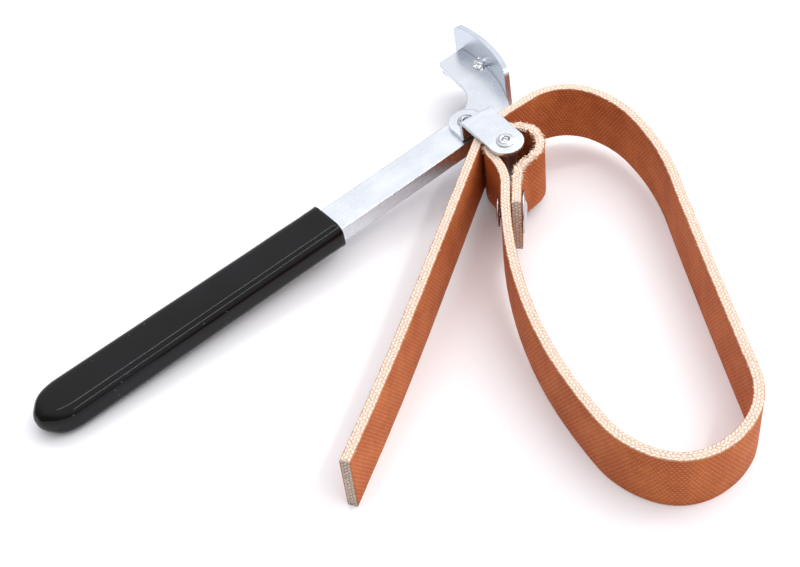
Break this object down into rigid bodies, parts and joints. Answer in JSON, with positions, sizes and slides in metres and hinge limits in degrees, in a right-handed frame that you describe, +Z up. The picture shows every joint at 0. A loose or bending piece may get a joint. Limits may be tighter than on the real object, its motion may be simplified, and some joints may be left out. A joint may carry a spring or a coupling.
{
  "type": "oil filter wrench",
  "caption": "Strap wrench with a hooked steel channel handle, black dipped grip, swinging link and a flat woven belt that loops round a round body.",
  "frame": {"origin": "middle of the outline seen from above, on the surface the belt's lower edge stands on", "axes": "+X along the handle from the grip towards the hooked head, +Y from the belt side towards the hook's tip, +Z up, square to the surface it lies on"},
  "size_m": [0.2548, 0.2235, 0.0355],
  "materials": {
    "zinc_steel": "satin zinc plate",
    "plate_steel": "satin zinc plate",
    "weld": "bright lumpy weld under plating",
    "rivet_steel": "bright",
    "spacer_steel": "satin",
    "grip_vinyl": "smooth gloss dip",
    "belt_web": "rubber-filled canvas weave"
  },
  "bodies": {
    "handle": {"handle_channel": "zinc_steel", "foot_plate": "plate_steel", "weld_tacks": "weld", "grip": "grip_vinyl", "pivot_rivet": "rivet_steel"},
    "link": {"link_upper": "zinc_steel", "link_lower": "zinc_steel", "strap_pin": "rivet_steel", "strap_pin_spacer": "spacer_steel"},
    "belt": {"strap_loop": "belt_web", "strap_rivet": "rivet_steel", "strap_rivet_washer": "rivet_steel"},
    "tail": {"strap_tail": "belt_web"}
  },
  "joints": [
    {"name": "link_pivot", "type": "hinge", "parent": "handle", "child": "link", "pos_m": [0.0802, 0.0707, 0.018], "axis": [-0.0576, 0, 0.9983], "range_deg": [-8, 20]},
    {"name": "strap_pivot", "type": "hinge", "parent": "link", "child": "belt", "pos_m": [0.07617, 0.04198, 0.01777], "axis": [-0.0576, 0, 0.9983], "range_deg": [-20, 8]},
    {"name": "tail_flex", "type": "hinge", "parent": "belt", "child": "tail", "pos_m": [0.07805, 0.05596, 0.0178], "axis": [0, 0, 1], "range_deg": [-8, 1.5], "stiffness_Nm_per_rad": 0.3}
  ],
  "couplings": [
    {"joint": "strap_pivot", "follows": "link_pivot", "ratio": -1}
  ]
}
